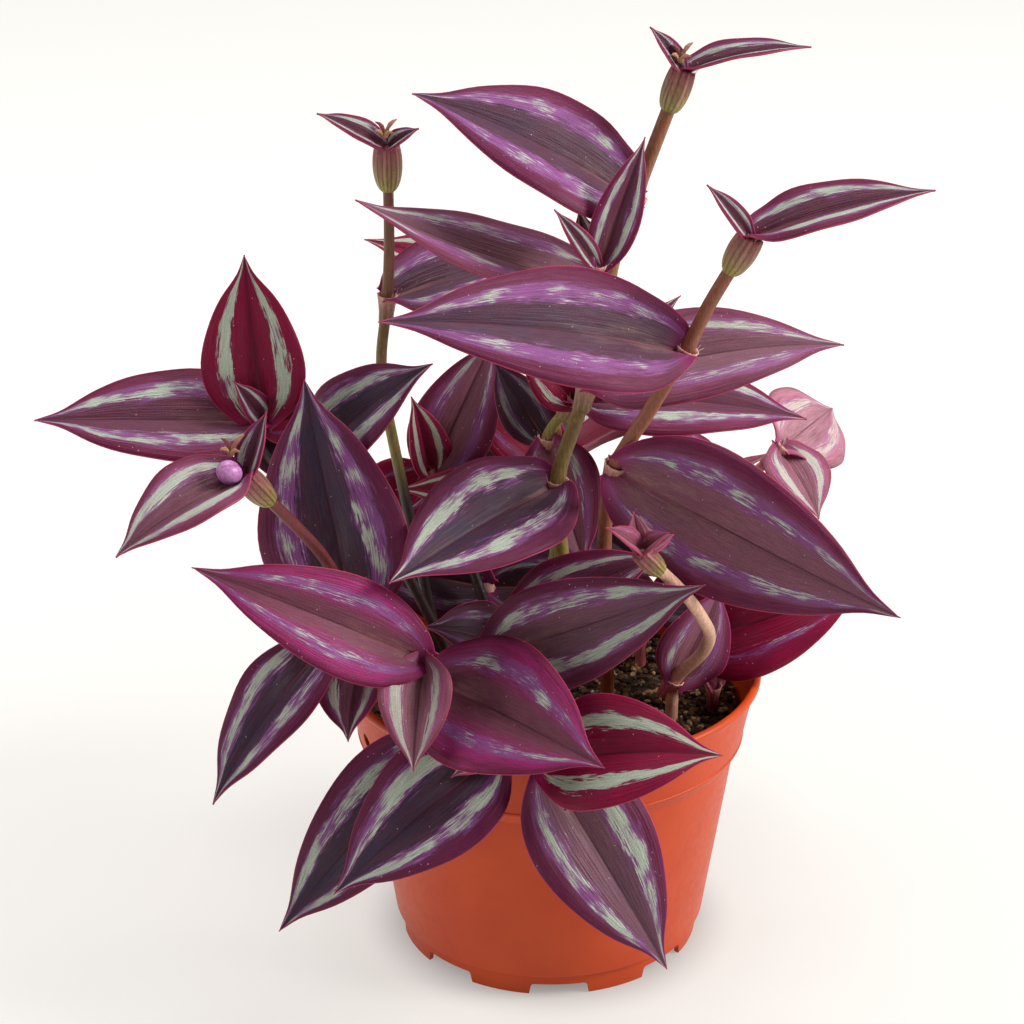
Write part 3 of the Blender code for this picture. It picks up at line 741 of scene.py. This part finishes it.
def sheathRings(place, direction, radius, foot):
    # a thin collar round the stem, pleated and open at its mouth
    shape = stalkShape

    def pleated(reach, depth):
        return lambda angle: reach + depth * cos(shape["pleats"] * angle)

    def striped(share):
        def colour(angle):
            return mixed(mixed(foot, barkPaint["mouth"], share), barkPaint["hair"],
                         0.16 * max(cos(shape["pleats"] * angle), 0))
        return colour

    below, above, out = shape["sheathBelow"], shape["sheathAbove"], shape["mouthOut"]
    rings = [(-below, radius * 0.95, 0.0, 0.0), (-below + 0.6, radius + 0.4, 0.02, 0.0),
             (-below * 0.5, radius + 0.5, 0.07, 0.1), (-1.2, radius + 0.72, 0.1, 0.3),
             (above * 0.5, radius + out * 0.9, 0.12, 0.65), (above, radius + out + 0.1, 0.1, 1.0),
             (above - 0.05, radius + out - 0.25, 0.1, 1.0),
             (above * 0.4, radius + out * 0.5, 0.06, 0.8), (-1.0, radius * 0.9, 0.0, 0.6)]
    return [(place + direction * z, direction, pleated(reach, depth), striped(share))
            for z, reach, depth, share in rings]


def gobletRings(place, direction, length, radius, stemRadius):
    # boat-shaped bracts, folded into a pleated cup with maroon ribs
    pleats, ribs = stalkShape["cupPleats"], stalkShape["cupRibs"]

    def pleated(reach, depth):
        return lambda angle: reach * (1 + depth * cos(pleats * angle) + 0.07 * cos(2 * angle))

    def striped(green):
        def colour(angle):
            rib = max(0.5 + 0.5 * cos(ribs * angle), 0) ** 2
            return mixed(mixed(barkPaint["cup"], barkPaint["leafGreen"], green),
                         barkPaint["pleat"], rib * 0.8)
        return colour

    rings = [(-1.12, stemRadius * 0.9, 0.0, 1.0)]
    for step in range(13):
        t = step / 12
        swell = sin(pi * (0.03 + 0.8 * t ** 0.85)) ** 0.7
        rings.append((-1.05 + 1.2 * t, stemRadius + 0.2 + (radius - stemRadius - 0.2) * swell,
                      0.02 + 0.09 * t, (1 - t) ** 1.8))
    rings += [(0.12, radius * 0.6, 0.08, 0.0), (-0.1, radius * 0.62, 0.05, 0.0),
              (-0.45, radius * 0.5, 0.0, 0.0)]
    return [(place + direction * z * length, direction, pleated(reach, depth), striped(green))
            for z, reach, depth, green in rings]


def addHairs(bm, place, direction, radius, layer):
    thick, thin = stalkShape["hairRadius"]
    for number in range(stalkShape["hairs"]):
        angle = dice.uniform(0, 2 * pi)
        outward = direction.to_track_quat("Z", "Y") @ Vector((cos(angle), sin(angle), 0))
        lean = (direction + outward * dice.uniform(0.1, 0.8)).normalized()
        length = stalkShape["hairLength"] * dice.uniform(0.6, 1.2)
        root = place + outward * radius + lean * length * 0.4
        made = bmesh.ops.create_cone(bm, cap_ends=True, segments=3, radius1=thick, radius2=thin,
                                     depth=length, matrix=pointing(lean, root))["verts"]
        for vert in made:
            vert[layer] = barkPaint["hair"]


def makeStalks(name, node, shoots):
    bm = bmesh.new()
    layer = bm.verts.layers.float_color.new("bark")
    shape = stalkShape
    steps, rootZ = shape["steps"], shape["rootZ"]
    for number, shoot in enumerate(shoots):
        places = [Vector(point) for point in shoot["route"]]
        course = smoothRoute(places, steps)
        nodes = sorted({leaf[0] for leaf in shoot["leaves"]})
        nodeAt = [at * steps for at in nodes]
        directions = directionsOf(course)
        lower, upper = (barkPaint[word] for word in shoot["bark"])
        radius = shoot["radius"]
        stations = []
        if number == 0:
            down = Vector((0, 0, 1))
            # painted shade: the root piece of a dim stalk takes the shadow colour
            for z in (rootZ, (rootZ + places[0].z) / 2, places[0].z - 2):
                stations.append((Vector((places[0].x, places[0].y, z)), down, radius,
                                 barkPaint["shadow"] if "dim" in shoot
                                 else mixed(lower, barkPaint["nodeRing"], 0.35)))
        for i, (point, direction) in enumerate(zip(course, directions)):
            gap = min((point - course[at]).length for at in nodeAt)
            swell = 1 + shape["nodeSwell"] * bump(gap, 3.5)
            share = i / (len(course) - 1)
            taper = 1 - shape["taper"] * share
            colour = mixed(lower, upper, share)
            colour = mixed(colour, barkPaint["nodeRing"], 0.55 * bump(gap, 2.2))
            # painted shade: below the dim height the stalk fades into the shadow colour
            deep = min(max((shoot.get("dim", 0) - point.z) / shape["dimFade"], 0), 1)
            colour = mixed(colour, barkPaint["shadow"], deep)
            stations.append((point, direction, radius * swell * taper, colour))
        last, direction, reach, colour = stations[-1]
        stations.append((last + direction * reach * 0.5, direction, reach * 0.7, colour))
        stations.append((last + direction * reach * 0.8, direction, reach * 0.25, colour))
        sweep(bm, stations, shape["sides"], layer)
        for at in nodes:
            nextAt = min(at + 1, len(places) - 1)
            direction = (places[nextAt] - places[at - 1]).normalized()
            if shoot.get("goblet") and at == len(places) - 1:
                length, swell = shoot["goblet"]
                sweep(bm, gobletRings(places[at], direction, length, swell, radius),
                      shape["cupSides"], layer)
                addHairs(bm, places[at] + direction * 0.8, direction, swell * 0.8, layer)
            else:
                foot = mixed(mixed(lower, upper, at / len(places)), barkPaint["wine"], 0.25)
                if shoot["bark"][0] == "cream":
                    foot = mixed(foot, barkPaint["pinkRing"], 0.9)
                sweep(bm, sheathRings(places[at], direction, radius, foot),
                      shape["sheathSides"], layer)
                addHairs(bm, places[at] + direction * 1.4, direction, radius + 0.9, layer)
    bmesh.ops.recalc_face_normals(bm, faces=bm.faces[:])
    makePiece(name, bm, [stalkMaterial], node)


for node, shoots in stems.items():
    makeLeaves("leaves" + joinedWords(node), node, shoots)
    makeStalks("stalk" + joinedWords(node), node, shoots)
print("stems and leaves:", len(stems))


# pot

potShape = {
    "rimRadius": 60.0, "height": 83.0, "lipRadius": 1.2, "collarTop": 58.2, "collarFoot": 55.2,
    "collarFootZ": 63.5, "bodyTop": 53.2, "bodyTopZ": 60.5, "bodyFoot": 45.4, "seamZ": 7.0,
    "footRadius": 43.8, "wall": 1.5, "floorZ": 4.5, "floorThick": 1.6, "sides": 128,
    "notches": 8, "notchAngle": 24.0, "notchHeight": 3.5, "notchFirst": -87.0,
    "drains": 4, "drainRadius": 3.5, "drainCircle": 31.0,
    "hangers": 4, "hangerRadius": 2.4, "hangerZ": 69.5, "hangerFirst": 204.0,
    "baseGroove": (22.0, 24.0, 0.4), "gatePit": (3.0, 0.5), "smoothUpTo": 38,
}
potPaint = {"body": srgb(186, 60, 10), "warm": srgb(196, 69, 16), "dust": srgb(210, 108, 66)}


def rounded(points, radius, steps=3):
    # the outline with its inner corners turned by a small radius
    outline = [points[0]]
    for before, corner, after in zip(points, points[1:], points[2:]):
        a, b, c = (Vector(point) for point in (before, corner, after))
        reach = min(radius, (a - b).length * 0.45, (c - b).length * 0.45)
        start = b + (a - b).normalized() * reach
        end = b + (c - b).normalized() * reach
        for step in range(steps + 1):
            t = step / steps
            outline.append(tuple(start * (1 - t) ** 2 + b * 2 * t * (1 - t) + end * t * t))
    return outline + [points[-1]]


def spunOutline(outline, sides):
    bm = bmesh.new()
    verts = [bm.verts.new((r, 0, z)) for r, z in outline]
    edges = [bm.edges.new(pair) for pair in zip(verts, verts[1:])]
    bmesh.ops.spin(bm, geom=verts + edges, cent=(0, 0, 0), axis=(0, 0, 1), angle=2 * pi,
                   steps=sides, use_merge=True)
    bmesh.ops.remove_doubles(bm, verts=bm.verts[:], dist=0.004)
    bmesh.ops.recalc_face_normals(bm, faces=bm.faces[:])
    return bm


def innerWall():
    p = potShape
    wall = p["wall"]
    return [(p["footRadius"] - wall, p["floorZ"] + p["floorThick"]),
            (p["bodyFoot"] - wall, p["seamZ"] + wall),
            (p["bodyTop"] - wall, p["bodyTopZ"] + wall),
            (p["collarFoot"] - wall, p["collarFootZ"] + wall),
            (p["collarTop"] - wall, p["height"] - p["lipRadius"] * 2)]


def makePotFinish():
    material, shader = newMaterial("terracottaPlastic")
    place = objectPlace(shader)
    dust = place.grain(420.0, 4.0, 0.7)
    colour = blend(place.grain(38.0).step(0.3, 0.7), potPaint["body"], potPaint["warm"])
    colour = blend(dust.step(0.62, 0.8) * 0.22, colour, potPaint["dust"])
    dress(shader, colour, dust.step(0.3, 0.7, 0.4, 0.5), 0.28)
    addBump(shader, place.grain(700.0), 0.12, 0.0003)
    return material


def addDrill(tool, radius, matrix):
    bmesh.ops.create_cone(tool, cap_ends=True, segments=28, radius1=radius, radius2=radius,
                          depth=8, matrix=matrix)


def makePot():
    p = potShape
    r, top, floorZ = p["lipRadius"], p["height"], p["floorZ"]
    inner, outer, groove = p["baseGroove"]
    pitRadius, pitDepth = p["gatePit"]
    lip = [(p["rimRadius"] - r + r * cos(radians(turn)), top - r + r * sin(radians(turn)))
           for turn in range(196, -71, -14)]
    footInner = p["footRadius"] - p["wall"] - 0.4
    inside = rounded([(0, floorZ + p["floorThick"]), *innerWall(), lip[0]], 0.8)
    outside = rounded([
        lip[-1],
        (p["collarTop"] + 0.1, top - r * 3),
        (p["collarFoot"] + 0.12, p["collarFootZ"] + 0.9),
        (p["collarFoot"] + 0.38, p["collarFootZ"] + 0.7),
        (p["collarFoot"] + 0.3, p["collarFootZ"]),
        (p["collarFoot"] - 0.8, p["collarFootZ"] - 1.2),
        (p["bodyTop"] + 0.6, p["bodyTopZ"] + 0.6),
        (p["bodyTop"], p["bodyTopZ"]),
        (p["bodyFoot"], p["seamZ"]),
        (p["footRadius"] + 0.1, p["seamZ"] - 0.5),
        (p["footRadius"] - 0.3, 0),
        (footInner, 0),
        (footInner, floorZ),
        (outer, floorZ), (outer - groove, floorZ - groove), (inner + groove, floorZ - groove),
        (inner, floorZ), (pitRadius, floorZ), (pitRadius - 0.4, floorZ - pitDepth),
        (0, floorZ - pitDepth),
    ], 0.35)
    bm = spunOutline(inside[:-1] + lip + outside[1:], p["sides"])

    tool = bmesh.new()
    for number in range(p["notches"]):
        angle = radians(p["notchFirst"] + 360 * number / p["notches"])
        block = bmesh.ops.create_cube(tool, size=1)["verts"]
        width = 2 * p["footRadius"] * sin(radians(p["notchAngle"] / 2))
        bmesh.ops.scale(tool, vec=(8, width, 2 * p["notchHeight"]), verts=block)
        for vert in block:
            vert.co.y *= 0.86 if vert.co.z > 0 else 1.0
        turn = Matrix.Rotation(angle, 4, "Z") @ Matrix.Translation((p["footRadius"] - 1, 0, 0))
        bmesh.ops.transform(tool, matrix=turn, verts=block)
        tops = [edge for edge in {e for v in block for e in v.link_edges}
                if all(v.co.z > 0 for v in edge.verts)]
        bmesh.ops.bevel(tool, geom=tops, offset=0.8, offset_type="OFFSET", affect="EDGES",
                        segments=3, profile=0.5, material=-1)
    for number in range(p["drains"]):
        place = headingVector(360 * (number + 0.5) / p["drains"], 0) * p["drainCircle"]
        place.z = floorZ
        addDrill(tool, p["drainRadius"], Matrix.Translation(place))
    for number in range(p["hangers"]):
        outward = headingVector(p["hangerFirst"] + 360 * number / p["hangers"], 0)
        place = outward * p["collarTop"] + Vector((0, 0, p["hangerZ"]))
        addDrill(tool, p["hangerRadius"], pointing(outward, place))
    cutter = placedMesh("potCutters", tool)

    pot = makePiece("nurseryPot", bm, [makePotFinish()], "pot")
    cut = pot.modifiers.new("cut", "BOOLEAN")
    cut.operation = "DIFFERENCE"
    cut.object = cutter
    cut.solver = "EXACT"
    bpy.context.view_layer.update()
    drawn = pot.evaluated_get(bpy.context.evaluated_depsgraph_get())
    carved = bpy.data.meshes.new_from_object(drawn)
    pot.modifiers.clear()
    pot.data = carved
    bpy.data.objects.remove(cutter)
    carved.shade_smooth()
    carved.set_sharp_from_angle(angle=radians(p["smoothUpTo"]))


makePot()
print("pot")


# peat

peatShape = {"top": 71.5, "bump": 1.1, "gap": 0.3, "sides": 120, "rings": 40, "batches": 21,
             "batchCrumbs": 200, "crumbSize": (0.35, 1.3)}
peatPaint = {"dark": srgb(46, 34, 27), "brown": srgb(104, 74, 50), "tan": srgb(184, 148, 106),
             "pale": srgb(232, 222, 206)}


def peatTopRadius():
    wall = [(r - peatShape["gap"], z + peatShape["gap"]) for r, z in innerWall()[:-1]]
    share = (peatShape["top"] - wall[-1][1]) / (potShape["height"] - wall[-1][1])
    reach = wall[-1][0] + (potShape["collarTop"] - potShape["collarFoot"]) * share
    return wall, reach - peatShape["gap"]


def peatHeight(x, y, reach):
    place = Vector((x, y, peatShape["top"]))
    distance = Vector((x, y)).length
    fade = max(0.0, min(1.0, (reach - distance) / 2.5))
    broad = peatShape["bump"] * noise.noise(place * 0.09)
    lumps = 0.75 * noise.noise(place * 0.33) + 0.4 * noise.noise(place * 0.9)
    return peatShape["top"] + (broad + lumps) * fade - 0.5 * (1 - fade)


def makePeatFinish(name, fromAttribute):
    material, shader = newMaterial(name)
    place = objectPlace(shader)
    if fromAttribute:
        colour = namedColour(shader, "crumbTone")[0]
    else:
        coarse = place.grain(520.0, 4.0, 0.7)
        bits = place.grain(1100.0, 2.0)
        colour = blend(coarse.step(0.42, 0.7), peatPaint["dark"], peatPaint["brown"])
        colour = blend(bits.step(0.7, 0.76) * 0.6, colour, peatPaint["tan"])
    colour = shaded(colour, place.grain(1500.0).step(0.25, 0.75, 0.6, 1.25))
    dress(shader, colour, 0.92, 0.2)
    addBump(shader, place.grain(900.0, 5.0, 0.75), 0.9, 0.0016)
    return material


def crumbBatch(reach):
    # a small mesh of its own, as adding to one growing mesh is slow
    grains = bmesh.new()
    layer = grains.verts.layers.float_color.new("crumbTone")
    palette = ["dark"] * 6 + ["brown"] * 8 + ["tan"] * 4 + ["pale"]
    smallest, largest = peatShape["crumbSize"]
    for number in range(peatShape["batchCrumbs"]):
        angle = dice.uniform(0, 2 * pi)
        distance = (reach - 1.2) * dice.random() ** 0.5
        x, y = distance * cos(angle), distance * sin(angle)
        tone = dice.choice(palette)
        size = smallest + (largest - smallest) * dice.random() ** 2
        if tone == "pale":
            size *= 0.6
        made = bmesh.ops.create_icosphere(grains, subdivisions=1, radius=size)["verts"]
        long = dice.uniform(1.0, 2.2) if tone == "tan" else dice.uniform(0.8, 1.3)
        bmesh.ops.scale(grains, vec=(long, dice.uniform(0.6, 1.0), dice.uniform(0.6, 1.0)),
                        verts=made)
        turn = Matrix.Rotation(dice.uniform(0, 2 * pi), 4, "Z")
        lean = Matrix.Rotation(dice.uniform(-0.5, 0.5), 4, "X")
        lift = Matrix.Translation((x, y, peatHeight(x, y, reach) + size * 0.4))
        bmesh.ops.transform(grains, matrix=lift @ turn @ lean, verts=made)
        tint = mixed(peatPaint[tone], peatPaint["dark"], dice.uniform(0, 0.35))
        for vert in made:
            vert[layer] = tint
    return meshFrom("crumbBatch", grains)


def makePeat():
    wall, reach = peatTopRadius()
    rings = peatShape["rings"]
    top = [(reach * ring / rings, peatShape["top"]) for ring in range(rings + 1)]
    bm = spunOutline([*top, *reversed(wall), (0, wall[0][1])], peatShape["sides"])
    for vert in bm.verts:
        if vert.co.z > peatShape["top"] - 0.1:
            vert.co.z = peatHeight(vert.co.x, vert.co.y, reach)
    makePiece("peatPlug", bm, [makePeatFinish("peat", False)], "soil")

    crumbs = bmesh.new()
    for batch in range(peatShape["batches"]):
        mesh = crumbBatch(reach)
        crumbs.from_mesh(mesh)
        bpy.data.meshes.remove(mesh)
    piece = makePiece("peatCrumbs", crumbs, [makePeatFinish("peatCrumbs", True)], "soil")
    piece.data.shade_flat()


makePeat()
print("peat")


# bud and dried flowers

budShape = {"radius": 3.0, "stretch": 1.12, "place": (-80.6, -65.0, 166.4),
            "points": (-0.6, -0.5, 0.6), "twist": 0.6, "petals": 3, "pinch": 0.1}
tuftShape = {
    "places": {"dried_flowers_tall": (32.5, 0.5, 254.5), "dried_flowers_left": (-44.5, 5, 233.5),
               "dried_flowers_front": (-80.5, -60.7, 169.2)},
    "stalks": [(-95, 50, 4), (-20, 72, 6), (110, 78, 5), (170, 55, 4), (40, 40, 3.5)],
    "sizes": (0.35, 0.45, 0.5, 0.42, 0.55, 0.4, 0.12), "sides": 10,
}
flowerPaint = {"petal": srgb(196, 130, 190), "deep": srgb(150, 76, 140),
               "tan": srgb(190, 150, 104), "maroon": srgb(126, 54, 62)}


def makeFlowerFinish(name, roughness):
    material, shader = newMaterial(name)
    place = objectPlace(shader)
    shade = place.grain(1400.0).step(0.3, 0.7, 0.78, 1.15)
    dress(shader, shaded(namedColour(shader, "petalTone")[0], shade), roughness)
    addBump(shader, place.grain(1800.0, 2.0), 0.3, 0.0003)
    return material


def makeBud():
    bm = bmesh.new()
    layer = bm.verts.layers.float_color.new("petalTone")
    bmesh.ops.create_uvsphere(bm, u_segments=36, v_segments=20, radius=budShape["radius"])
    for vert in bm.verts:
        height = vert.co.z / budShape["radius"]
        flat = Vector((vert.co.x, vert.co.y))
        turn = flat.angle_signed(Vector((1, 0))) if flat.length > 1e-6 else 0
        turn += height * budShape["twist"]
        groove = abs(cos(budShape["petals"] / 2 * turn)) ** 0.35
        pinch = 1 - budShape["pinch"] * (1 - groove)
        vert.co.x *= pinch
        vert.co.y *= pinch
        vert.co.z *= budShape["stretch"] * (1.08 if height > 0 else 1.0)
        vert[layer] = mixed(flowerPaint["deep"], flowerPaint["petal"], groove)
    bmesh.ops.transform(bm, matrix=pointing(Vector(budShape["points"]),
                                            Vector(budShape["place"])), verts=bm.verts[:])
    makePiece("violetBud", bm, [makeFlowerFinish("budPetal", 0.34)],
              "flower_bud")


def makeTufts():
    finish = makeFlowerFinish("driedBract", 0.7)
    sizes = tuftShape["sizes"]

    def curled(size):
        return lambda angle: size * (1 + 0.25 * cos(3 * angle))

    for node, place in tuftShape["places"].items():
        bm = bmesh.new()
        layer = bm.verts.layers.float_color.new("petalTone")
        for number, (heading, rise, length) in enumerate(tuftShape["stalks"]):
            tint = mixed(flowerPaint["tan"], flowerPaint["maroon"], (number % 3) * 0.4)
            course = []
            for step in range(len(sizes)):
                t = step / (len(sizes) - 1)
                reach = headingVector(heading + 50 * t, rise + 20 * t - 40 * t * t)
                course.append(Vector(place) + reach * length * t)
            rings = []
            for step, point, direction in zip(range(len(sizes)), course, directionsOf(course)):
                rings.append((point, direction, curled(sizes[step]),
                              mixed(tint, flowerPaint["maroon"], 0.1 * step)))
            sweep(bm, rings, tuftShape["sides"], layer)
        bmesh.ops.recalc_face_normals(bm, faces=bm.faces[:])
        name = "dried" + joinedWords(node).removeprefix("Dried")
        makePiece(name, bm, [finish], node)


makeBud()
makeTufts()
print("bud and dried flowers")


# floor, light and camera

studio = {
    "floorSize": 40.0, "floorColour": srgb(140, 137, 134), "floorGlow": (1.0, 0.984, 0.945, 1),
    "glowReach": (0.03, 0.55), "glow": (0.64, 0.84), "shadeReach": (0.03, 0.058),
    "shade": 0.22, "world": 0.17, "worldColour": (1.0, 0.99, 0.975, 1),
    "lights": [
        # name, place in m, energy in W, size in m, colour
        ("keyLight", (1.3, -0.2, 0.95), 27.0, 0.7, (1.0, 0.98, 0.95)),
        ("topLight", (0.1, 0.3, 1.6), 17.0, 0.9, (1.0, 0.99, 0.98)),
        ("fillLight", (-1.3, -0.2, 0.7), 5.0, 0.7, (1.0, 0.98, 0.97)),
    ],
    "lightsAimAt": (0, 0, 0.12),
    "cameraPlace": (-0.011, -0.6, 0.375), "cameraPitch": 22.27, "sensorWidth": 36.0,
    "focalWidths": 2.275390625,
}


def makeFloor():
    bm = bmesh.new()
    bmesh.ops.create_grid(bm, x_segments=1, y_segments=1, size=studio["floorSize"] / 2)
    floor = placed("floor", meshFrom("floor", bm))
    material, shader = newMaterial("floorPaint")
    dress(shader, studio["floorColour"], 0.8, 0.1)
    shader.inputs["Emission Color"].default_value = studio["floorGlow"]
    # painted light and shade: the floor glows, more away from the pot, which keeps the room pale;
    # the glow is dimmer near the pot and is cut to a painted shadow just round its foot
    nearPot = newNode(shader, "VectorMath")
    nearPot.operation = "DISTANCE"
    feed(nearPot.inputs[0], objectPlace(shader))
    nearPot.inputs[1].default_value = potAxis
    away = Signal(nearPot.outputs["Value"])
    glow = (away.step(*studio["glowReach"], *studio["glow"])
            * away.step(*studio["shadeReach"], studio["shade"], 1.0))
    feed(shader.inputs["Emission Strength"], glow)
    floor.data.materials.append(material)


def makeLights():
    world = bpy.data.worlds.new("softRoom")
    bpy.context.scene.world = world
    world.use_nodes = True
    backdrop = world.node_tree.nodes["Background"]
    backdrop.inputs["Color"].default_value = studio["worldColour"]
    backdrop.inputs["Strength"].default_value = studio["world"]
    for name, place, energy, size, colour in studio["lights"]:
        light = bpy.data.lights.new(name, "AREA")
        light.shape = "DISK"
        light.size = size
        light.energy = energy
        light.color = colour
        lamp = placed(name, light)
        lamp.location = Vector(place) + potAxis
        aim = Vector(studio["lightsAimAt"]) + potAxis - lamp.location
        lamp.rotation_euler = aim.to_track_quat("-Z", "Y").to_euler()


def makeCamera():
    data = bpy.data.cameras.new("camera")
    data.sensor_width = studio["sensorWidth"]
    data.lens = studio["focalWidths"] * data.sensor_width
    data.clip_start = 0.01
    camera = placed("camera", data)
    camera.location = Vector(studio["cameraPlace"]) + potAxis
    camera.rotation_euler = (radians(90 - studio["cameraPitch"]), 0, 0)
    bpy.context.scene.camera = camera


makeFloor()
makeLights()
makeCamera()
bpy.context.scene.view_settings.view_transform = "Standard"
print("floor, light and camera")
